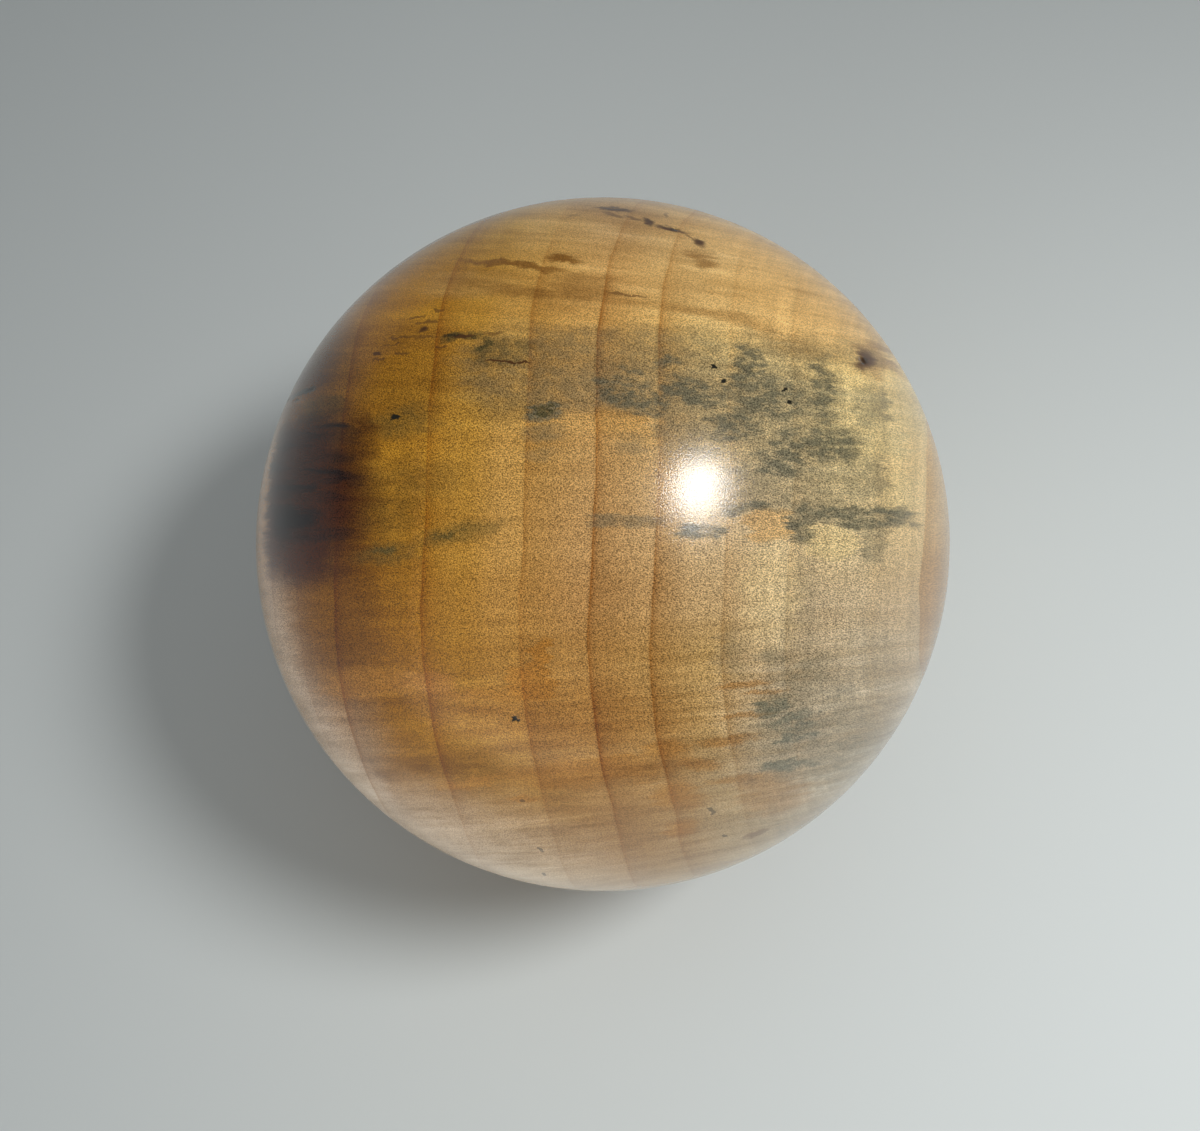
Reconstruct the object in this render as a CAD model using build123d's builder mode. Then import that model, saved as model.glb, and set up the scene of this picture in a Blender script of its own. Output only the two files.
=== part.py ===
"""Turned wooden ball: one solid piece of wood with no bore, flat or joint.

Frame: millimetres, +Z up, origin at the centre of the ball.  The turning axis is Z, so the
ball is its half-profile, a semicircle from pole to pole, turned once round Z.
"""

import os

from build123d import *

# Driving dimension
BALL_DIAMETER = 60.0

BALL_RADIUS = BALL_DIAMETER / 2
TOP_POLE = (0, BALL_RADIUS)
BOTTOM_POLE = (0, -BALL_RADIUS)
WIDEST_POINT = (BALL_RADIUS, 0)

os.makedirs("parts", exist_ok=True)

# ---------------------------------------------------------------- ball
with BuildPart() as ball:
    with BuildSketch(Plane.XZ):
        with BuildLine():
            ThreePointArc(BOTTOM_POLE, WIDEST_POINT, TOP_POLE)
            Line(TOP_POLE, BOTTOM_POLE)
        make_face()
    revolve(axis=Axis.Z)

ball.part.label = "ball"
export_step(ball.part, "parts/ball.step")
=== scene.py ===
"""Wooden ball of spalted, turned wood under a clear satin coat.

The ball is 60 mm across, with its middle at the origin.  The wood's look is one solid pattern in
three wood directions: ACROSS the growth rings, HEIGHT along a ring, and along the FIBRE.
Places on the ball are given in those directions as shares of the radius, so that 0 is the
middle and 1 is the surface.
"""

import math
from collections import namedtuple

import bmesh
import bpy
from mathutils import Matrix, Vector, noise


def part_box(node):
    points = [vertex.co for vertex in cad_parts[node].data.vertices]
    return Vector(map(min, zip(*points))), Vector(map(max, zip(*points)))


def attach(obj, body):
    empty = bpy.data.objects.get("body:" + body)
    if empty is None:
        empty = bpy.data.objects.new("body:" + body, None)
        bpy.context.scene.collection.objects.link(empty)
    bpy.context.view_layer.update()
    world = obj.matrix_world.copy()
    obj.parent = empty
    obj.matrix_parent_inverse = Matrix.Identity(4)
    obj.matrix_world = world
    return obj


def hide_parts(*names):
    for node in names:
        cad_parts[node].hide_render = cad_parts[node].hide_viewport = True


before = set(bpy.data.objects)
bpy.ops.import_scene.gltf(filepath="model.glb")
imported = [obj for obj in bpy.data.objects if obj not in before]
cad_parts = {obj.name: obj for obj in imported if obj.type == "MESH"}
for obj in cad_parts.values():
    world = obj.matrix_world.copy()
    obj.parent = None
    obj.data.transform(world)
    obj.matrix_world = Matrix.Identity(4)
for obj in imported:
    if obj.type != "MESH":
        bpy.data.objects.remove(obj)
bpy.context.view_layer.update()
low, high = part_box("ball")
RADIUS = min(high - low) / 2
MM = 0.001

# Camera: it looks down on the ball from the front
CAMERA_ELEVATION = math.radians(69)
CAMERA_DISTANCE = 5.5 * RADIUS
LENS_MM = 56.3
SENSOR_MM = 36
SHIFT_X = -0.0025
SHIFT_Y = -0.0178

# Key light: a soft round lamp above the right side, aimed at the floor to the lower right
KEY_DIRECTION = Vector((0.515, -0.06, 0.86)).normalized()
KEY_DISTANCE = 20 * RADIUS
KEY_RADIUS = math.tan(math.radians(9.5)) * KEY_DISTANCE
KEY_AIM = Vector((2.6, -2.0, -1)) * RADIUS
KEY_CONE = math.radians(38)
KEY_POWER = 12.5

# Fill light: a wide, low, weak panel on the front left
FILL_DIRECTION = Vector((-0.50, -0.86, 0.07)).normalized()
FILL_DISTANCE = 26 * RADIUS
FILL_WIDTH = 24 * RADIUS
FILL_HEIGHT = 5 * RADIUS
FILL_POWER = 5.2

# Sky: weak light from all round, stronger from the back left
SKY_COLOUR = (0.93, 0.97, 1.0, 1)
SKY_BRIGHT_SIDE = (-0.3, 0.95, 0.0)
SKY_WEAKEST = 0.02
SKY_STRONGEST = 0.50
HAZE_SIDE = (-0.50, -0.80, -0.34)
HAZE_WEAKEST = 0.02
HAZE_STRONGEST = 0.40

FLOOR_SIZE = 60 * RADIUS
FLOOR_COLOUR = (0.61, 0.645, 0.635, 1)
FLOOR_ROUGHNESS = 0.6

# Wood directions: HEIGHT is the camera's up, and the fibre leans a little left of the camera
CAMERA_UP = Vector((0, math.sin(CAMERA_ELEVATION), math.cos(CAMERA_ELEVATION)))
CAMERA_BACK = Vector((0, -math.cos(CAMERA_ELEVATION), math.sin(CAMERA_ELEVATION)))
CAMERA_RIGHT = Vector((1, 0, 0))
FIBRE_LEAN = 0.225
HEIGHT = CAMERA_UP
FIBRE = (CAMERA_BACK - CAMERA_RIGHT * FIBRE_LEAN).normalized()
ACROSS = CAMERA_RIGHT + CAMERA_BACK * FIBRE_LEAN
# Shares ALONG the fibre where the photographed side's stains fade out to the back
FRONT_FROM = -0.45
FRONT_FULL = -0.15

# Growth rings: where each starts ACROSS, how dark it starts, and how dark its edge line is
RINGS = (
    (-1.08, 0.3, 0.3),
    (-0.93, 0.3, 0.3),
    (-0.80, 0.3, 0.3),
    (-0.67, 0.4, 0.5),
    (-0.53, 0.5, 0.9),
    (-0.25, 0.6, 1.0),
    (0.01, 0.75, 0.8),
    (0.19, 0.8, 1.0),
    (0.34, 0.85, 0.6),
    (0.50, 0.6, 0.35),
    (0.65, 0.35, 0.1),
    (0.84, 0.25, 0.15),
    (0.96, 0.0, 0.5),
)
RING_SPAN = 1.12
RING_STEP = 0.0008
RING_SHADE_POWER = 1.3
RING_LINE_POWER = 18.0
# How the rings sway ACROSS with HEIGHT: a bow at the top and bottom, and a gentle wave
RING_BOW = 0.04
RING_WAVE = 0.012
RING_WAVE_LENGTH = 0.95
RING_WAVE_CREST = -0.33

# Noise scales, in repeats per radius: across, up and along the wood, or the same all ways
STREAK_SCALE = (2.6, 26, 1)
FINE_STREAK_SCALE = (5, 90, 3)
FRAY_SCALE = (3, 45, 2)
MOTTLE_SCALE = (26, 40, 3)
UPRIGHT_SCALE = (55, 3, 3)
PATCHY_SCALE = (3, 2.5, 1)
WANDER_SCALE = 4.0
LUMP_SCALE = 9.0
RIPPLE_SCALE = 34.0
PORE_SCALE = 290
PORE_SLANT = (118, 195, 30)

# How far noise moves things, in shares of the radius
WANDER_REACH = 0.025
STAIN_FRAY = 0.13
STAIN_LUMPS = 0.06
STAIN_RIPPLE = 0.02
MARK_FRAY = 0.04
MARK_RIPPLE = 0.024
# How much the streaks fan out to the right
FAN = 0.18

# The part of a noise's range that is used, and the shades it is taken to
NOISE_BAND = (0.3, 0.7)
STREAK_SHADES = (1.28, 0.64)
FINE_SHADES = (1.06, 0.92)
UPRIGHT_SHADES = (1.10, 0.88)
PORE_BAND = (0.25, 0.75)
PORE_SHADES = (0.40, 1.7)
PORE_BUMP = 0.008 * MM

# How strongly each kind of stain covers the wood
GREY_COVER = 0.88
OLIVE_COVER = 0.85
BACK_GREY_COVER = 0.85
BACK_DARK_COVER = 0.9
RED_COVER = 0.96
BLACK_COVER = 0.97

WOOD_ROUGHNESS = 0.5
WOOD_SPECULAR = 0.08
COAT_WEIGHT = 1.0
COAT_ROUGHNESS = 0.185
COAT_IOR = 1.6

# Colours, linear: the wood's own, though some also paint light or shade, as noted where they stand
BASE_ACROSS = (
    (-1.0, (0.34, 0.20, 0.10)),
    (-0.7, (0.32, 0.17, 0.07)),
    (-0.5, (0.33, 0.15, 0.02)),
    (-0.38, (0.40, 0.185, 0.015)),
    (-0.26, (0.42, 0.20, 0.02)),
    (-0.14, (0.48, 0.25, 0.04)),
    (-0.02, (0.54, 0.30, 0.08)),
    (0.2, (0.55, 0.32, 0.12)),
    (0.34, (0.59, 0.37, 0.155)),
    (0.46, (0.67, 0.47, 0.235)),
    (0.6, (0.77, 0.58, 0.325)),
    (0.8, (0.84, 0.65, 0.35)),
    (0.95, (0.80, 0.58, 0.28)),
    (1.0, (0.74, 0.53, 0.26)),
)
SHADE_BY_HEIGHT = (
    (-1.0, (0.52, 0.54, 0.54)),
    (-0.76, (0.58, 0.56, 0.54)),
    (-0.6, (0.60, 0.56, 0.48)),
    (-0.44, (0.63, 0.57, 0.43)),
    (-0.28, (0.68, 0.61, 0.44)),
    (-0.12, (0.82, 0.77, 0.70)),
    (0.0, (0.96, 0.95, 0.94)),
    (0.36, (1.17, 1.16, 1.0)),
    (0.52, (1.46, 1.41, 1.02)),
    (0.68, (1.49, 1.45, 1.18)),
    (0.84, (1.40, 1.46, 1.5)),
    (1.0, (1.30, 1.30, 1.3)),
)
SHADE_TOP = 1.5
RING_SHADE = (0.72, 0.64, 0.52)
RING_LINE = (0.66, 0.40, 0.12)
GREY_STAIN = (0.115, 0.115, 0.075)
OLIVE = (0.075, 0.062, 0.02)
UMBER = (0.17, 0.065, 0.004)
DARK_RED = (0.045, 0.010, 0.004)
BLACK = (0.010, 0.007, 0.008)
BROWN_MARK = (0.12, 0.05, 0.015)
# Black, for dark specks in the wood and as painted shade inside the hairline check and the pits
BLACK_SPECK_AND_HOLLOW_SHADE = (0.02, 0.018, 0.012)
ORANGE = (0.64, 0.36, 0.105)
AMBER = (0.95, 0.58, 0.20)
BROWN_BAND = (0.36, 0.16, 0.025)
CREAM = (0.78, 0.60, 0.28)
# Pale grey, both a greyer tone of the wood and a painted sheen along the lower left rim
PALE_GREY_AND_RIM_SHEEN = (0.62, 0.50, 0.36)

Blot = namedtuple("Blot", "across height wide tall tilt strength soft")
# How wide a blot's edge is, as a share of its half size either way
CRISP = 0.3
SOFT = 0.8


def blot(across, height, wide, tall, tilt=0, strength=1.0, soft=CRISP):
    """A soft patch: its middle, its half sizes, and its tilt in degrees."""
    return Blot(across, height, wide, tall, math.radians(tilt), strength, soft)


GREY_PATCHES = (
    # upper stain, left to right
    blot(-0.04, 0.44, 0.10, 0.08, 0, 0.6, SOFT),
    blot(0.10, 0.43, 0.11, 0.10, 0, 0.6),
    blot(0.06, 0.322, 0.045, 0.020, 6),
    blot(0.03, 0.46, 0.04, 0.03, 0, 0.6, SOFT),
    blot(0.16, 0.352, 0.07, 0.018, 6, 0.6),
    blot(0.28, 0.435, 0.085, 0.10, 0, 0.6),
    blot(0.26, 0.37, 0.075, 0.035, -8),
    blot(0.27, 0.422, 0.035, 0.015, 0, 1.0, SOFT),
    blot(0.32, 0.34, 0.05, 0.03, -14),
    blot(0.355, 0.445, 0.025, 0.02, 0, 1.0, SOFT),
    blot(0.425, 0.37, 0.085, 0.15, 0, 0.6),
    blot(0.43, 0.375, 0.08, 0.035),
    # main stain
    blot(0.63, 0.365, 0.125, 0.155, 0, 0.6),
    blot(0.61, 0.36, 0.10, 0.06, 0, 1.0, SOFT),
    blot(0.545, 0.445, 0.036, 0.055),
    blot(0.725, 0.39, 0.025, 0.09),
    blot(0.52, 0.285, 0.055, 0.04),
    blot(0.70, 0.25, 0.10, 0.04),
    blot(0.64, 0.155, 0.14, 0.07, 0, 0.6),
    blot(0.62, 0.20, 0.06, 0.03, -10),
    blot(0.76, 0.15, 0.07, 0.06, 0, 0.6, SOFT),
    blot(0.80, 0.07, 0.12, 0.025, -3),
    blot(0.675, 0.05, 0.026, 0.05),
    blot(0.84, 0.01, 0.025, 0.055, 0, 0.6),
    # fainter stain beside and under it
    blot(0.84, 0.36, 0.035, 0.05, 0, 0.6),
    blot(0.83, 0.165, 0.03, 0.05, 0, 0.6),
    blot(0.79, 0.50, 0.05, 0.03, 0, 0.35, SOFT),
    blot(0.27, 0.058, 0.08, 0.014, 0, 0.6),
    blot(0.44, 0.032, 0.045, 0.018),
    blot(0.55, 0.085, 0.06, 0.012),
    blot(0.07, 0.27, 0.045, 0.018, 0, 0.6, SOFT),
    blot(0.06, 0.22, 0.035, 0.012, 0, 0.35, SOFT),
    blot(0.275, 0.24, 0.035, 0.018, 0, 0.35, SOFT),
    # lower right stain
    blot(0.65, -0.43, 0.06, 0.05, 0, 1.0, SOFT),
    blot(0.71, -0.52, 0.13, 0.13, 8, 0.6, SOFT),
    blot(0.63, -0.57, 0.06, 0.016, 4, 1.0, SOFT),
    blot(0.77, -0.53, 0.04, 0.04, 0, 0.6, SOFT),
    blot(0.63, -0.278, 0.028, 0.02, 0, 0.6, SOFT),
    blot(0.645, -0.45, 0.045, 0.05, 0, 0.6),
    blot(0.66, -0.49, 0.05, 0.015, 4),
    blot(0.61, -0.56, 0.05, 0.010, 6),
    blot(0.79, -0.53, 0.03, 0.02, 0, 0.6),
    blot(0.70, -0.33, 0.06, 0.05, 0, 0.6, SOFT),
    blot(0.72, -0.60, 0.08, 0.03, 4, 0.6, SOFT),
    blot(0.685, -0.19, 0.035, 0.13, 0, 0.35, SOFT),
    blot(0.53, -0.26, 0.03, 0.05, 0, 0.35, SOFT),
    blot(0.70, -0.68, 0.22, 0.16, 0, 0.35, SOFT),
    blot(0.63, -0.40, 0.05, 0.015),
    blot(0.76, -0.38, 0.05, 0.03, 0, 0.6, SOFT),
    blot(0.84, -0.35, 0.06, 0.12, 0, 0.35, SOFT),
)
OLIVE_PATCHES = (
    blot(-0.15, 0.028, 0.09, 0.020, 12, 0.6, SOFT),
    blot(-0.18, 0.022, 0.05, 0.008, 12, 1.0, SOFT),
    blot(-0.09, 0.042, 0.06, 0.007, 10, 0.6, SOFT),
    blot(-0.35, -0.022, 0.08, 0.020, 4, 0.6, SOFT),
    blot(-0.36, -0.018, 0.04, 0.008, 4, 1.0, SOFT),
    blot(-0.32, 0.31, 0.075, 0.032, 0, 0.6, SOFT),
    blot(-0.05, 0.33, 0.06, 0.03, 0, 0.35, SOFT),
    blot(-0.05, 0.48, 0.06, 0.025, 0, 0.6, SOFT),
    blot(-0.10, 0.495, 0.012, 0.018),
    blot(-0.61, 0.36, 0.075, 0.028, 0, 0.6),
    blot(-0.30, 0.16, 0.12, 0.04, 0, 0.35, SOFT),
    blot(-0.36, 0.08, 0.07, 0.05, 0, 0.35, SOFT),
    blot(-0.17, 0.52, 0.05, 0.012),
    blot(0.06, 0.325, 0.022, 0.012),
)
UMBER_PATCHES = (
    blot(-0.53, -0.16, 0.14, 0.22, 0, 1.0, SOFT),
    blot(-0.36, 0.42, 0.14, 0.10, 0, 0.35, SOFT),
    blot(-0.70, 0.43, 0.17, 0.13, 0, 1.0, SOFT),
    blot(-0.42, 0.03, 0.06, 0.09, 0, 0.6, SOFT),
    blot(-0.40, -0.42, 0.14, 0.06, 0, 0.35, SOFT),
    blot(-0.44, 0.25, 0.04, 0.06, 0, 0.6, SOFT),
    blot(-0.30, -0.12, 0.03, 0.30, 0, 0.35, SOFT),
)
RED_PATCHES = (
    blot(-0.68, 0.115, 0.15, 0.20),
    blot(-0.60, 0.13, 0.14, 0.16, 0, 1.0, SOFT),
    blot(-0.51, 0.10, 0.05, 0.012, 0, 0.6),
    blot(-0.52, 0.24, 0.07, 0.014, 0, 0.6),
    blot(-0.53, 0.02, 0.07, 0.012, 0, 0.6),
    blot(-0.70, 0.46, 0.08, 0.04, 0, 0.6, SOFT),
    blot(-0.47, 0.30, 0.05, 0.03, 0, 0.6, SOFT),
)
BLACK_PATCHES = (
    blot(-0.72, 0.20, 0.11, 0.11),
    blot(-0.72, 0.06, 0.06, 0.05, 0, 1.0, SOFT),
    blot(-0.60, 0.175, 0.09, 0.020),
    blot(-0.60, 0.285, 0.12, 0.024, -4),
    blot(-0.66, 0.06, 0.05, 0.04, 0, 1.0, SOFT),
    blot(-0.58, 0.12, 0.06, 0.010, 0, 1.0, SOFT),
    blot(-0.57, 0.03, 0.07, 0.015, 0, 0.6, SOFT),
    blot(-0.56, 0.22, 0.07, 0.012, 0, 0.6, SOFT),
    blot(-0.64, 0.33, 0.08, 0.015, 0, 0.6, SOFT),
    blot(-0.48, 0.17, 0.04, 0.012, 0, 0.6, SOFT),
)
CREAM_PATCHES = (
    blot(0.82, 0.265, 0.09, 0.04),
    blot(0.775, 0.36, 0.028, 0.03),
    blot(0.90, 0.36, 0.05, 0.06, 0, 0.6, SOFT),
    blot(0.74, 0.005, 0.055, 0.035, 0, 0.6),
    blot(0.62, -0.12, 0.05, 0.10, 0, 0.35, SOFT),
    blot(0.90, 0.13, 0.03, 0.05, 0, 0.6, SOFT),
)
ORANGE_PATCHES = (
    blot(0.245, 0.300, 0.055, 0.028),
    blot(0.155, 0.292, 0.07, 0.018, 8, 0.6),
    blot(0.27, 0.27, 0.07, 0.022, -12, 0.6),
    blot(0.60, 0.045, 0.045, 0.038, 0, 0.6),
    blot(0.63, 0.57, 0.06, 0.04, -15, 0.6, SOFT),
    blot(0.50, 0.60, 0.12, 0.03, -12, 0.35, SOFT),
    blot(-0.18, 0.67, 0.10, 0.03, -4, 0.6, SOFT),
)
AMBER_PATCHES = (
    blot(0.70, 0.66, 0.22, 0.14, -12, 1.0, SOFT),
    blot(0.55, 0.84, 0.25, 0.10, -14, 1.0, SOFT),
)
BAND_PATCHES = (
    blot(0.085, -0.30, 0.010, 0.05, 0, 1.0),
    blot(-0.265, -0.10, 0.012, 0.30, 0, 0.35, SOFT),
    blot(-0.24, -0.345, 0.07, 0.025),
    blot(0.04, -0.345, 0.055, 0.035),
    blot(0.07, -0.28, 0.022, 0.04),
    blot(-0.10, -0.375, 0.16, 0.012, 0, 0.6, SOFT),
    blot(0.10, -0.42, 0.25, 0.06, 0, 0.35, SOFT),
    blot(0.15, -0.57, 0.16, 0.03, 6, 0.6, SOFT),
    blot(0.36, -0.515, 0.045, 0.022, 0, 0.6, SOFT),
    blot(0.50, -0.49, 0.05, 0.010, 4, 0.6, SOFT),
    blot(0.52, -0.60, 0.06, 0.010, 4, 0.6, SOFT),
    blot(0.24, -0.535, 0.06, 0.008, 4, 0.6, SOFT),
    blot(0.36, -0.64, 0.045, 0.03, 0, 0.6, SOFT),
    blot(0.35, -0.735, 0.035, 0.02, 0, 0.6, SOFT),
    blot(0.43, -0.55, 0.04, 0.012, 0, 0.6, SOFT),
    blot(0.565, -0.345, 0.05, 0.006, 6, 0.6, SOFT),
    blot(0.61, -0.365, 0.04, 0.005, 6, 0.6, SOFT),
    blot(0.56, -0.425, 0.05, 0.006, 6, 0.6, SOFT),
    blot(0.58, -0.65, 0.06, 0.05, 10, 0.6, SOFT),
    blot(-0.18, -0.61, 0.08, 0.010, 12, 0.6, SOFT),
    blot(-0.03, -0.65, 0.03, 0.006, 10, 0.6, SOFT),
    blot(-0.45, -0.36, 0.12, 0.03, 4, 0.6, SOFT),
    blot(-0.08, 0.725, 0.13, 0.007, -8, 1.0, SOFT),
    blot(0.06, 0.735, 0.035, 0.007, -8, 1.0, SOFT),
    blot(-0.01, 0.64, 0.07, 0.012, -6, 0.6, SOFT),
    blot(0.15, 0.655, 0.06, 0.03, -8, 0.6, SOFT),
    blot(0.50, 0.57, 0.10, 0.012, -10, 0.35, SOFT),
    blot(0.42, 0.745, 0.03, 0.018, -30, 0.6, SOFT),
    blot(0.84, 0.50, 0.03, 0.05, 0, 0.6, SOFT),
    blot(-0.43, 0.494, 0.08, 0.014, 0, 0.6, SOFT),
    blot(-0.30, 0.545, 0.10, 0.035, 0, 0.35, SOFT),
    blot(0.205, 0.87, 0.12, 0.035, -14, 0.35, SOFT),
)
# Pale grey patches. The first is a paler, greyer tone of the wood at the lower right; the other three
# follow the lower left rim and are a painted reflection, a pale sheen standing in for the coat's
# reflection of bright surroundings.
PALE_WOOD_AND_RIM_SHEEN = (
    blot(0.80, -0.46, 0.20, 0.30, 0, 0.6, SOFT),
    # painted sheen along the lower left rim, not a tone of the wood
    blot(-0.75, -0.48, 0.22, 0.34, 0, 0.35, SOFT),
    blot(-0.40, -0.95, 0.40, 0.22, 0, 0.6, SOFT),
    blot(-0.62, -0.74, 0.20, 0.14, -40, 0.6, SOFT),
)
BACK_GREY = (
    blot(0.30, -0.20, 0.35, 0.05, 6, 0.6),
    blot(0.45, -0.08, 0.20, 0.07, 0, 0.6, SOFT),
    blot(-0.20, 0.35, 0.30, 0.06, -5, 0.6),
    blot(-0.45, 0.20, 0.12, 0.10, 0, 0.6, SOFT),
    blot(0.55, 0.50, 0.15, 0.10, 0, 0.35, SOFT),
    blot(-0.05, -0.62, 0.20, 0.05, 0, 0.6, SOFT),
)
BACK_DARK = (
    blot(-0.78, 0.14, 0.12, 0.13, 0, 1.0, SOFT),
    blot(-0.60, 0.22, 0.12, 0.025, 0, 1.0, SOFT),
    blot(-0.62, 0.05, 0.10, 0.02, 0, 0.6, SOFT),
    blot(0.62, -0.30, 0.10, 0.02, 0, 0.6, SOFT),
    blot(0.10, 0.62, 0.10, 0.006),
    blot(0.25, 0.15, 0.05, 0.005),
)
BROWN_MARKS = (
    # top left
    blot(-0.43, 0.494, 0.014, 0.004),
    blot(-0.288, 0.548, 0.010, 0.007, 0, 1.0, SOFT),
    blot(-0.315, 0.587, 0.022, 0.003, 0, 0.6),
    blot(-0.265, 0.570, 0.020, 0.003, 0, 0.6),
    blot(-0.225, 0.500, 0.016, 0.003, 0, 0.6),
    blot(-0.08, 0.527, 0.022, 0.004, 0, 0.6, SOFT),
    blot(-0.033, 0.451, 0.052, 0.0022, -3),
    blot(-0.352, 0.532, 0.038, 0.003, 0, 0.6),
    blot(-0.277, 0.527, 0.03, 0.003, 0, 0.6, SOFT),
    blot(-0.38, 0.515, 0.03, 0.002, 0, 0.6),
    blot(-0.285, 0.568, 0.030, 0.003, 0, 0.6),
    blot(-0.345, 0.488, 0.022, 0.003, 0, 0.6),
    blot(-0.425, 0.478, 0.018, 0.003, 0, 0.6),
    blot(-0.252, 0.601, 0.016, 0.003, 0, 0.6),
    blot(-0.165, 0.524, 0.022, 0.004, 0, 1.0, SOFT),
    # top
    blot(0.14, 0.907, 0.040, 0.006, -6, 1.0, SOFT),
    blot(0.155, 0.884, 0.022, 0.005, -20, 0.6, SOFT),
    blot(0.21, 0.872, 0.020, 0.004, -20, 0.6, SOFT),
    blot(0.253, 0.860, 0.016, 0.006, -40, 1.0, SOFT),
    blot(0.32, 0.838, 0.034, 0.006, -14, 1.0, SOFT),
    blot(0.397, 0.795, 0.014, 0.008, -35, 1.0, SOFT),
    blot(0.373, 0.812, 0.014, 0.003, -35, 0.6),
    blot(0.29, 0.89, 0.008, 0.004, -40, 0.6, SOFT),
    blot(0.05, 0.882, 0.012, 0.003, 0, 0.35, SOFT),
    # right, and bottom right
    blot(0.82, 0.488, 0.016, 0.024, 0, 1.0, SOFT),
    blot(0.25, 0.628, 0.045, 0.0022, -8, 0.6),
    blot(0.523, -0.774, 0.024, 0.007, 20, 0.6, SOFT),
)
# Black marks. Those on the hairline check and the two pits are painted shade, the dark inside of
# those hollows; the rest are dark specks in the wood.
BLACK_SPECKS_AND_HOLLOW_SHADE = (
    # hairline check, two strands: painted shade in the crack
    blot(-0.745, 0.410, 0.080, 0.006, 4),
    blot(-0.75, 0.393, 0.02, 0.002),
    blot(-0.348, 0.318, 0.012, 0.005),
    blot(-0.20, 0.528, 0.022, 0.003, 0, 0.6),
    blot(0.332, 0.837, 0.009, 0.005, -20, 0.6),
    blot(0.817, 0.485, 0.006, 0.007, 0, 0.6, SOFT),
    blot(0.467, 0.437, 0.006, 0.005),
    blot(0.494, 0.400, 0.005, 0.004),
    blot(0.635, 0.385, 0.004, 0.006),
    blot(0.648, 0.352, 0.005, 0.004),
    # the two pits: painted shade in the holes
    blot(-0.012, -0.428, 0.006, 0.006),
    blot(-0.002, -0.434, 0.004, 0.004),
    blot(0.427, -0.683, 0.005, 0.010, 0, 0.6),
    blot(0.448, -0.77, 0.006, 0.005, 0, 0.6),
    blot(-0.04, -0.65, 0.006, 0.004, 0, 0.6),
    blot(-0.03, -0.80, 0.005, 0.006, 0, 0.6),
    blot(-0.05, -0.895, 0.005, 0.006, 0, 0.6),
)

# Skin: cells along each side of the cube grid, how often it is made finer round the hollows and
# how far from them, and the turning ripple
SKIN_CELLS = 84
FINER_STEPS = 2
FINER_REACH = 0.018
RIPPLE = 0.012 * MM
RIPPLE_REPEATS = 2.5

# Small hollows: where each starts and ends, its half width as a share of the radius, and its depth
Dent = namedtuple("Dent", "start end reach depth")
DENTS = (
    Dent((-0.825, 0.403), (-0.665, 0.414), 0.006, 0.10 * MM),
    Dent((-0.77, 0.393), (-0.725, 0.393), 0.005, 0.07 * MM),
    Dent((-0.012, -0.428), (-0.012, -0.428), 0.009, 0.10 * MM),
    Dent((-0.002, -0.434), (-0.002, -0.434), 0.007, 0.08 * MM),
    Dent((0.817, 0.485), (0.817, 0.485), 0.016, 0.09 * MM),
    Dent((-0.085, 0.455), (0.02, 0.447), 0.006, 0.05 * MM),
    Dent((-0.348, 0.318), (-0.335, 0.318), 0.010, 0.05 * MM),
    Dent((0.332, 0.837), (0.332, 0.837), 0.012, 0.06 * MM),
    Dent((0.467, 0.437), (0.467, 0.437), 0.007, 0.06 * MM),
    Dent((0.494, 0.400), (0.494, 0.400), 0.006, 0.05 * MM),
)


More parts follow.
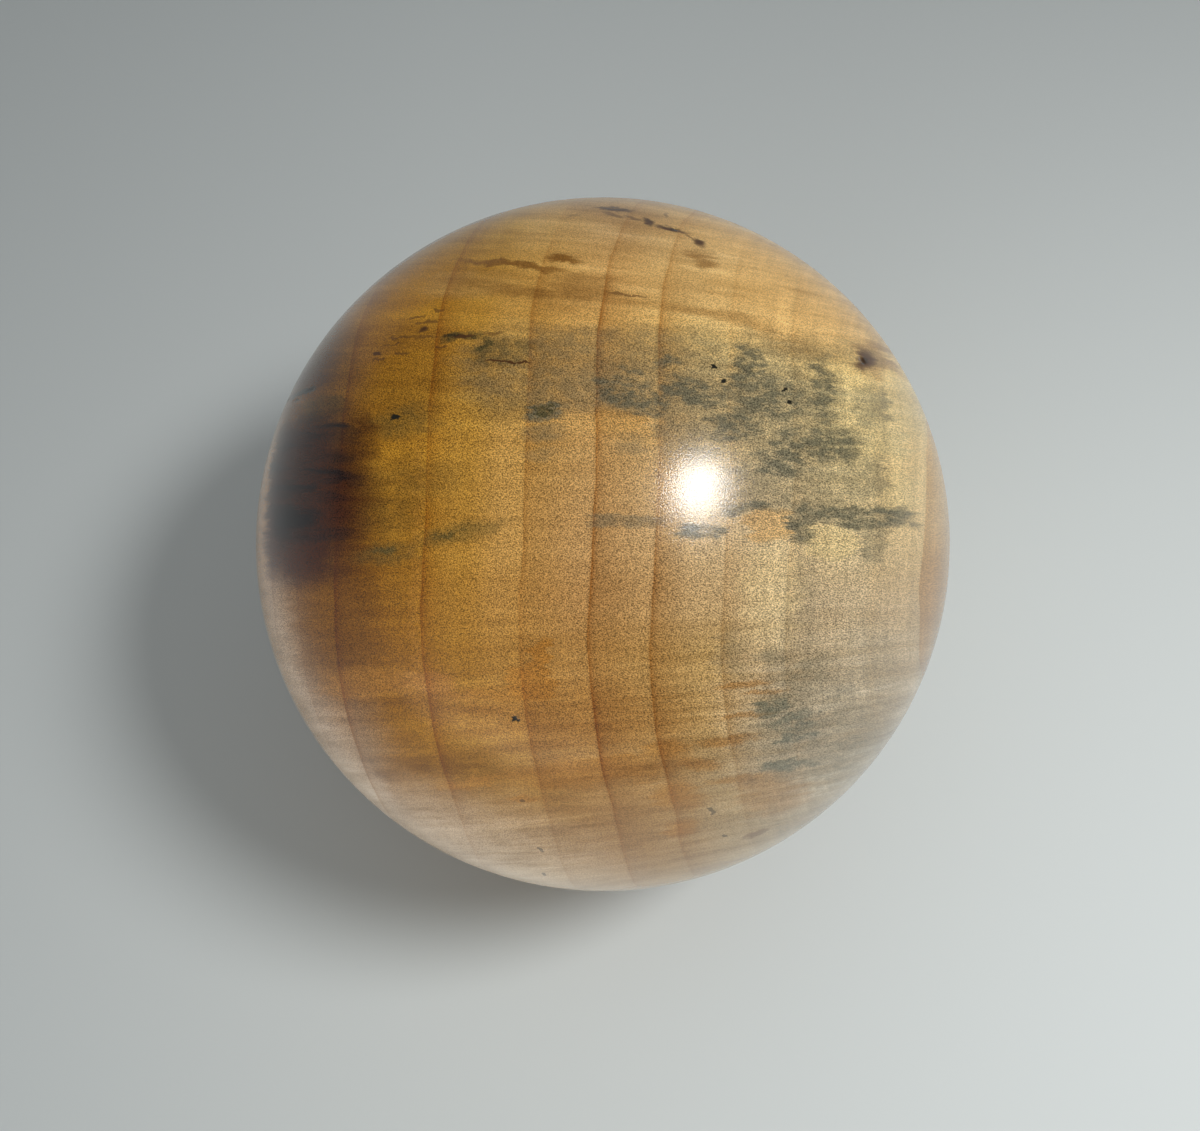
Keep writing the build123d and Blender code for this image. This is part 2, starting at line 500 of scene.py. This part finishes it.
class Nodes:
    """Short calls that add nodes to one node tree."""

    def __init__(self, tree):
        self.tree = tree

    def add(self, kind, **settings):
        node = self.tree.nodes.new(kind)
        for name, value in settings.items():
            setattr(node, name, value)
        return node

    def feed(self, socket, value):
        """Sets a socket to a value, or links it where the value is another socket."""
        if isinstance(value, bpy.types.NodeSocket):
            self.tree.links.new(value, socket)
        else:
            socket.default_value = value

    def math(self, operation, *values, clamp=False):
        node = self.add("ShaderNodeMath", operation=operation, use_clamp=clamp)
        for socket, value in zip(node.inputs, values):
            self.feed(socket, value)
        return node.outputs["Value"]

    def vector(self, operation, *values):
        node = self.add("ShaderNodeVectorMath", operation=operation)
        for socket, value in zip(node.inputs, values):
            self.feed(socket, value)
        gives_number = operation in ("DOT_PRODUCT", "LENGTH")
        return node.outputs["Value" if gives_number else "Vector"]

    def combine(self, x, y, z):
        node = self.add("ShaderNodeCombineXYZ")
        for socket, value in zip(node.inputs, (x, y, z)):
            self.feed(socket, value)
        return node.outputs["Vector"]

    def noise(self, place, scale, detail=2.0, roughness=0.5):
        node = self.add("ShaderNodeTexNoise")
        self.feed(node.inputs["Vector"], place)
        self.feed(node.inputs["Scale"], scale)
        self.feed(node.inputs["Detail"], detail)
        self.feed(node.inputs["Roughness"], roughness)
        return node.outputs["Fac"]

    def spread(self, value, start, end, first=0.0, last=1.0, smooth=True):
        """Takes start..end to first..last, clamped."""
        node = self.add("ShaderNodeMapRange")
        node.interpolation_type = "SMOOTHSTEP" if smooth else "LINEAR"
        for name, number in zip(("Value", "From Min", "From Max", "To Min", "To Max"),
                                (value, start, end, first, last)):
            self.feed(node.inputs[name], number)
        return node.outputs["Result"]

    def ramp(self, value, stops, kind="LINEAR"):
        node = self.add("ShaderNodeValToRGB")
        node.color_ramp.interpolation = kind
        elements = node.color_ramp.elements
        while len(elements) < len(stops):
            elements.new(0.5)
        for element, (place, colour) in zip(elements, stops):
            element.position = place
            element.color = (*colour, 1)
        self.feed(node.inputs["Fac"], value)
        return node.outputs["Color"]

    def mix(self, amount, under, over, blend="MIX"):
        node = self.add("ShaderNodeMix", data_type="RGBA", blend_type=blend)
        self.feed(node.inputs["Factor"], amount)
        for name, colour in (("A", under), ("B", over)):
            socket = [s for s in node.inputs if s.name == name and s.type == "RGBA"][0]
            self.feed(socket, (*colour, 1) if isinstance(colour, tuple) else colour)
        return [s for s in node.outputs if s.type == "RGBA"][0]


def make_camera():
    data = bpy.data.cameras.new("camera")
    data.lens = LENS_MM
    data.sensor_width = SENSOR_MM
    data.shift_x = SHIFT_X
    data.shift_y = SHIFT_Y
    camera = bpy.data.objects.new("camera", data)
    camera.location = CAMERA_BACK * CAMERA_DISTANCE
    camera.rotation_euler = CAMERA_BACK.to_track_quat("Z", "Y").to_euler()
    bpy.context.scene.collection.objects.link(camera)
    bpy.context.scene.camera = camera


def place_lamp(name, data, place, aim):
    """Puts a lamp at place and turns it to face aim."""
    lamp = bpy.data.objects.new(name, data)
    lamp.location = place
    lamp.rotation_euler = (place - aim).to_track_quat("Z", "Y").to_euler()
    bpy.context.scene.collection.objects.link(lamp)
    return lamp


def make_lamps():
    key = bpy.data.lights.new("key", "SPOT")
    key.energy = KEY_POWER
    key.shadow_soft_size = KEY_RADIUS
    key.spot_size = KEY_CONE
    key.spot_blend = 1.0
    place_lamp("key", key, KEY_DIRECTION * KEY_DISTANCE, KEY_AIM)

    fill = bpy.data.lights.new("fill", "AREA")
    fill.shape = "RECTANGLE"
    fill.size = FILL_WIDTH
    fill.size_y = FILL_HEIGHT
    fill.energy = FILL_POWER
    lamp = place_lamp("fill", fill, FILL_DIRECTION * FILL_DISTANCE, Vector((0, 0, 0)))
    lamp.visible_glossy = False


def make_sky():
    world = bpy.data.worlds.new("sky")
    world.use_nodes = True
    n = Nodes(world.node_tree)
    background = world.node_tree.nodes["Background"]
    background.inputs["Color"].default_value = SKY_COLOUR
    direction = n.add("ShaderNodeTexCoord").outputs["Generated"]
    side = n.vector("DOT_PRODUCT", direction, SKY_BRIGHT_SIDE)
    light = n.spread(side, -1, 1, SKY_WEAKEST, SKY_STRONGEST, smooth=False)
    path = n.add("ShaderNodeLightPath").outputs
    seen = n.math("MAXIMUM", path["Is Camera Ray"], path["Is Glossy Ray"])
    seen = n.math("MAXIMUM", seen, path["Is Transmission Ray"])
    strength = n.add("ShaderNodeMix")
    n.feed(strength.inputs["Factor"], seen)
    n.feed(strength.inputs["A"], light)
    haze = n.vector("DOT_PRODUCT", direction, HAZE_SIDE)
    n.feed(strength.inputs["B"], n.spread(haze, 0.3, 1.0, HAZE_WEAKEST, HAZE_STRONGEST))
    n.feed(background.inputs["Strength"], strength.outputs["Result"])
    bpy.context.scene.world = world


def make_floor():
    bpy.ops.mesh.primitive_plane_add(size=FLOOR_SIZE, location=(0, 0, low.z))
    floor = bpy.context.object
    floor.name = "floor"
    material = bpy.data.materials.new("floor")
    material.use_nodes = True
    shader = material.node_tree.nodes["Principled BSDF"]
    shader.inputs["Base Color"].default_value = FLOOR_COLOUR
    shader.inputs["Roughness"].default_value = FLOOR_ROUGHNESS
    floor.data.materials.append(material)


def on_scale(stops, span=1.0):
    """Moves stops from -span..span to a ramp's 0..1."""
    return [((place + span) / (2 * span), value) for place, value in stops]


def as_grey(stops):
    return [(place, (value, value, value)) for place, value in stops]


def blot_reach(n, place, item):
    """Squared distance from the middle of a blot, where 1 is its edge.  Place's third part is 1."""
    if item.tilt:
        right = Vector((math.cos(item.tilt), math.sin(item.tilt))) / item.wide
        up = Vector((-math.sin(item.tilt), math.cos(item.tilt))) / item.tall
        middle = Vector((item.across, item.height))
        x = n.vector("DOT_PRODUCT", place, (*right, -right.dot(middle)))
        y = n.vector("DOT_PRODUCT", place, (*up, -up.dot(middle)))
        spot = n.combine(x, y, 0.0)
    else:
        scale = (1 / item.wide, 1 / item.tall, 0)
        shift = (-item.across / item.wide, -item.height / item.tall, 0)
        spot = n.vector("MULTIPLY_ADD", place, scale, shift)
    if item.soft == CRISP:
        spot = n.vector("MULTIPLY", spot, spot)
    return n.vector("DOT_PRODUCT", spot, spot)


def union(n, place, blots):
    """Mask that is strongest inside any of the blots and fades at their edges."""
    mask = None
    for strength, soft in sorted({(item.strength, item.soft) for item in blots}):
        nearest = None
        for item in blots:
            if (item.strength, item.soft) == (strength, soft):
                reach = blot_reach(n, place, item)
                nearest = n.math("MINIMUM", nearest, reach) if nearest else reach
        power = 4 if soft == CRISP else 2
        part = n.spread(nearest, (1 + soft) ** power, (1 - soft) ** power, 0.0, strength)
        mask = n.math("MAXIMUM", mask, part) if mask else part
    return mask


def direction_of(across, height):
    """Direction from the ball's middle to a place on its front half."""
    side = ACROSS.normalized()
    out = side.cross(HEIGHT).normalized()
    x = (across - sway_at(height)) / ACROSS.length
    depth = math.sqrt(max(0.0, 1 - x * x - height * height))
    return (side * x + HEIGHT * height + out * depth).normalized()


def sway_at(height):
    """How far the rings sway at a height; ring_sway does the same in nodes."""
    turn = 2 * math.pi * (height - RING_WAVE_CREST) / RING_WAVE_LENGTH
    return RING_BOW * height ** 4 + RING_WAVE * math.cos(turn)


def dent_offset(direction, dent):
    """The nearest point of a dent's run, as a share of it, and how far away that is."""
    start = direction_of(*dent.start)
    run = direction_of(*dent.end) - start
    share = 0.5
    if run.length > 0:
        share = min(1.0, max(0.0, (direction - start).dot(run) / run.length_squared))
    return share, (direction - start - run * share).length


def dent_depth(direction, dent):
    """How deep a dent is at a direction, in metres; a long one tapers to its ends."""
    share, offset = dent_offset(direction, dent)
    away = offset / dent.reach
    if away >= 1:
        return 0.0
    is_long = dent.start != dent.end
    taper = math.sin(math.pi * (0.12 + 0.76 * share)) if is_long else 1.0
    return dent.depth * taper * (1 - away * away) ** 2


def grid_direction(face, u, v):
    """Direction of one grid point of a rounded cube; u and v run from -1 to 1."""
    x = math.tan(u * math.pi / 4)
    y = math.tan(v * math.pi / 4)
    axis, sign = divmod(face, 2)
    corner = [(1, x, y), (y, 1, x), (x, y, 1)][axis]
    return (Vector(corner) * (1 if sign else -1)).normalized()


def ball_mesh():
    """A rounded cube grid, finer round the dents, with the dents and turning ripple sunk in."""
    mesh = bmesh.new()
    points = {}

    def point(direction):
        key = tuple(round(c, 6) for c in direction)
        if key not in points:
            points[key] = mesh.verts.new(direction)
        return points[key]

    for face in range(6):
        for i in range(SKIN_CELLS):
            for j in range(SKIN_CELLS):
                corners = [(i, j), (i + 1, j), (i + 1, j + 1), (i, j + 1)]
                ring = [point(grid_direction(face, 2 * a / SKIN_CELLS - 1, 2 * b / SKIN_CELLS - 1))
                        for a, b in corners]
                mesh.faces.new(ring)
    for step in range(FINER_STEPS):
        near = set()
        for quad in mesh.faces:
            middle = quad.calc_center_median().normalized()
            for dent in DENTS:
                if dent_offset(middle, dent)[1] < dent.reach + FINER_REACH / (step + 1):
                    near.update(quad.edges)
        bmesh.ops.subdivide_edges(mesh, edges=list(near), cuts=1, use_grid_fill=True)
    for vertex in mesh.verts:
        direction = vertex.co.normalized()
        ripple = RIPPLE * (0.5 + 0.5 * noise.noise(direction * RIPPLE_REPEATS))
        sunk = sum(dent_depth(direction, dent) for dent in DENTS)
        vertex.co = direction * (RADIUS - ripple - sunk)
    bmesh.ops.recalc_face_normals(mesh, faces=mesh.faces)
    data = bpy.data.meshes.new("ball_skin")
    mesh.to_mesh(data)
    mesh.free()
    data.shade_smooth()
    return data


Wood = namedtuple("Wood", "across height along by_sheet by_height lumps streaks mottle front "
                          "stain_place mark_place")


def moved(n, value, noise_value, reach):
    """A value moved by noise, up to half of reach either way."""
    return n.math("MULTIPLY_ADD", n.math("SUBTRACT", noise_value, 0.5), reach, value)


def scaled_noise(n, place, scale, detail, roughness=0.5):
    return n.noise(n.vector("MULTIPLY", place, scale), 1.0, detail, roughness)


def grey_of(n, value):
    return n.combine(value, value, value)


def ring_sway(n, height):
    bow = n.math("MULTIPLY", n.math("POWER", n.math("ABSOLUTE", height), 4.0), RING_BOW)
    pace = 2 * math.pi / RING_WAVE_LENGTH
    turn = n.math("MULTIPLY_ADD", height, pace, -pace * RING_WAVE_CREST)
    return n.math("MULTIPLY_ADD", n.math("COSINE", turn), RING_WAVE, bow)


def wood_places(n):
    """The wood directions at a point, and the noises that more than one part of the wood uses."""
    place = n.add("ShaderNodeTexCoord").outputs["Object"]
    unit = n.vector("SCALE", place)
    unit.node.inputs["Scale"].default_value = 1 / RADIUS
    across = n.vector("DOT_PRODUCT", unit, tuple(ACROSS))
    height = n.vector("DOT_PRODUCT", unit, tuple(HEIGHT))
    along = n.vector("DOT_PRODUCT", unit, tuple(FIBRE))
    across = n.math("ADD", across, ring_sway(n, height))
    across = moved(n, across, n.noise(unit, WANDER_SCALE), WANDER_REACH)
    front = n.spread(along, FRONT_FROM, FRONT_FULL)

    # Sheets along the rays: height lines that fan a little
    sheet = n.math("MULTIPLY", height, n.math("MULTIPLY_ADD", across, FAN, 1.0))
    by_sheet = n.combine(across, sheet, along)
    by_height = n.combine(across, height, along)
    streaks = scaled_noise(n, by_sheet, STREAK_SCALE, 5.0, 0.62)
    mottle = scaled_noise(n, by_sheet, MOTTLE_SCALE, 4.0, 0.75)
    mottle = n.spread(mottle, 0.33, 0.59, 0.48, 1.0)
    fray = scaled_noise(n, by_sheet, FRAY_SCALE, 4.0, 0.65)
    lumps = n.noise(unit, LUMP_SCALE, 4.0, 0.6)
    ripple = n.noise(unit, RIPPLE_SCALE, 3.0, 0.6)

    stain_across = moved(n, across, fray, STAIN_FRAY)
    stain_height = moved(n, moved(n, height, lumps, STAIN_LUMPS), ripple, STAIN_RIPPLE)
    mark_across = moved(n, across, fray, MARK_FRAY)
    mark_height = moved(n, height, ripple, MARK_RIPPLE)
    return Wood(across, height, along, by_sheet, by_height, lumps, streaks, mottle, front,
                n.combine(stain_across, stain_height, 1.0), n.combine(mark_across, mark_height, 1.0))


def ground_colour(n, wood):
    """The wood's colour before rings and streaks, with the patches that lie under them; the pale grey
    ones along the lower left rim are a painted sheen.
    """
    colour = n.ramp(n.spread(wood.across, -1, 1, smooth=False), on_scale(BASE_ACROSS), "EASE")
    tints = [(place, tuple(Vector(tint) / SHADE_TOP)) for place, tint in SHADE_BY_HEIGHT]
    shade = n.ramp(n.spread(wood.height, -1, 1, smooth=False), on_scale(tints), "EASE")
    shade = n.vector("MULTIPLY", shade, (SHADE_TOP, SHADE_TOP, SHADE_TOP))
    colour = n.vector("MULTIPLY", colour, shade)
    # The pale grey patches paint a sheen along the lower left rim as well as a greyer wood tone
    for blots, tint in ((PALE_WOOD_AND_RIM_SHEEN, PALE_GREY_AND_RIM_SHEEN), (CREAM_PATCHES, CREAM), (UMBER_PATCHES, UMBER),
                        (ORANGE_PATCHES, ORANGE), (AMBER_PATCHES, AMBER), (BAND_PATCHES, BROWN_BAND)):
        mask = n.math("MULTIPLY", union(n, wood.stain_place, blots), wood.front)
        colour = n.mix(mask, colour, tint)
    return colour


def add_rings(n, wood, colour):
    """Growth rings: dark at the start of each ring, paler to its end."""
    place = n.spread(wood.across, -RING_SPAN, RING_SPAN, smooth=False)
    saw_stops = []
    for start, shade, line in RINGS:
        saw_stops += [(start - RING_STEP, 0.0), (start + RING_STEP, 1.0)]
    saw = n.ramp(place, as_grey(on_scale(saw_stops, RING_SPAN)))
    patchy = scaled_noise(n, wood.by_height, PATCHY_SCALE, 2.0)
    fade = n.spread(n.math("ABSOLUTE", wood.height), 0.45, 0.85, 1.0, 0.4)
    strength = n.math("MULTIPLY", n.spread(patchy, *NOISE_BAND, 0.5, 1.2), fade)
    for column, power, tint in ((1, RING_SHADE_POWER, RING_SHADE), (2, RING_LINE_POWER, RING_LINE)):
        stops = [(ring[0], ring[column]) for ring in RINGS]
        of_ring = n.ramp(place, as_grey(on_scale(stops, RING_SPAN)), "CONSTANT")
        of_ring = n.math("MULTIPLY", strength, of_ring)
        amount = n.math("MULTIPLY", n.math("POWER", saw, power), of_ring, clamp=True)
        colour = n.mix(amount, colour, tint, "MULTIPLY")
    return colour


def add_streaks(n, wood, colour):
    """Streaks along the sheets, stronger high, low and at the left, and faint upright ones."""
    amount = n.spread(wood.height, 0.1, 0.65, 0.3, 0.8)
    amount = n.math("MAXIMUM", amount, n.spread(wood.height, -0.15, -0.45, 0.3, 1.0))
    amount = n.math("MAXIMUM", amount, n.spread(wood.across, -0.05, -0.45, 0.3, 0.7))
    amount = n.math("MULTIPLY", amount, n.spread(wood.lumps, 0.35, 0.60, 0.55, 1.0))
    fine = scaled_noise(n, wood.by_sheet, FINE_STREAK_SCALE, 3.0, 0.6)
    shade = n.math("MULTIPLY", n.spread(wood.streaks, *NOISE_BAND, *STREAK_SHADES, smooth=False),
                   n.spread(fine, *NOISE_BAND, *FINE_SHADES, smooth=False))
    # Green and blue darken more than red, so dark streaks are browner
    shade = n.combine(shade, n.math("POWER", shade, 1.25), n.math("POWER", shade, 1.7))
    colour = n.mix(amount, colour, shade, "MULTIPLY")
    upright = scaled_noise(n, wood.by_height, UPRIGHT_SCALE, 2.0)
    upright = n.spread(upright, *NOISE_BAND, *UPRIGHT_SHADES, smooth=False)
    amount = n.spread(wood.across, 0.3, 0.7, 0.3, 1.0)
    return n.mix(amount, colour, grey_of(n, upright), "MULTIPLY")


def add_stains(n, wood, colour):
    """Stains of both sides, and the dark patch, whose black is broken up by the streaks."""
    back = n.math("SUBTRACT", 1.0, wood.front)
    broken_black = n.spread(wood.streaks, 0.60, 0.42, 0.25, 1.0)
    for blots, side, broken_by, cover, tint in (
            (GREY_PATCHES, wood.front, wood.mottle, GREY_COVER, GREY_STAIN),
            (OLIVE_PATCHES, wood.front, wood.mottle, OLIVE_COVER, OLIVE),
            (BACK_GREY, back, wood.mottle, BACK_GREY_COVER, GREY_STAIN),
            (BACK_DARK, back, None, BACK_DARK_COVER, DARK_RED),
            (RED_PATCHES, wood.front, None, RED_COVER, DARK_RED),
            (BLACK_PATCHES, wood.front, broken_black, BLACK_COVER, BLACK)):
        mask = n.math("MULTIPLY", union(n, wood.stain_place, blots), side)
        if broken_by is not None:
            mask = n.math("MULTIPLY", mask, broken_by)
        colour = n.mix(n.math("MULTIPLY", mask, cover), colour, tint)
    return colour


def add_pores(n, wood, colour, pores):
    """Pore speckle, strongest where the fibres end at the surface and fainter high and low."""
    amount = n.spread(wood.along, 0.1, 0.8, 0.3, 1.0)
    fade = n.spread(n.math("ABSOLUTE", wood.height), 0.38, 0.68, 1.0, 0.5)
    amount = n.math("MULTIPLY", amount, fade)
    shade = n.spread(pores, *PORE_BAND, *PORE_SHADES, smooth=False)
    return n.mix(amount, colour, grey_of(n, shade), "MULTIPLY")


def add_marks(n, wood, colour):
    # Brown marks, and black ones that are partly painted shade in the check and the pits
    for blots, tint in ((BROWN_MARKS, BROWN_MARK), (BLACK_SPECKS_AND_HOLLOW_SHADE, BLACK_SPECK_AND_HOLLOW_SHADE)):
        mask = n.math("MULTIPLY", union(n, wood.mark_place, blots), wood.front)
        colour = n.mix(mask, colour, tint)
    return colour


def spalted_wood():
    material = bpy.data.materials.new("spalted_wood")
    material.use_nodes = True
    n = Nodes(material.node_tree)
    shader = material.node_tree.nodes["Principled BSDF"]
    wood = wood_places(n)
    slant = n.vector("DOT_PRODUCT", wood.by_height, PORE_SLANT)
    pores = n.combine(n.math("MULTIPLY", wood.across, PORE_SCALE),
                      n.math("MULTIPLY", wood.height, PORE_SCALE), slant)
    pores = n.noise(pores, 1.0, 0.0)

    colour = ground_colour(n, wood)
    colour = add_rings(n, wood, colour)
    colour = add_streaks(n, wood, colour)
    colour = add_stains(n, wood, colour)
    colour = add_pores(n, wood, colour, pores)
    colour = add_marks(n, wood, colour)

    n.feed(shader.inputs["Base Color"], colour)
    bump = n.add("ShaderNodeBump")
    bump.inputs["Strength"].default_value = 1.0
    bump.inputs["Distance"].default_value = PORE_BUMP
    n.feed(bump.inputs["Height"], pores)
    n.feed(shader.inputs["Normal"], bump.outputs["Normal"])
    n.feed(shader.inputs["Coat Normal"], bump.outputs["Normal"])
    shader.inputs["Roughness"].default_value = WOOD_ROUGHNESS
    shader.inputs["Specular IOR Level"].default_value = WOOD_SPECULAR
    shader.inputs["Coat Weight"].default_value = COAT_WEIGHT
    shader.inputs["Coat Roughness"].default_value = COAT_ROUGHNESS
    shader.inputs["Coat IOR"].default_value = COAT_IOR
    return material


make_camera()
make_lamps()
make_sky()
make_floor()
skin = bpy.data.objects.new("ball_skin", ball_mesh())
bpy.context.scene.collection.objects.link(skin)
skin.data.materials.append(spalted_wood())
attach(skin, "root")
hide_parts("ball")
bpy.context.scene.view_settings.view_transform = "Standard"
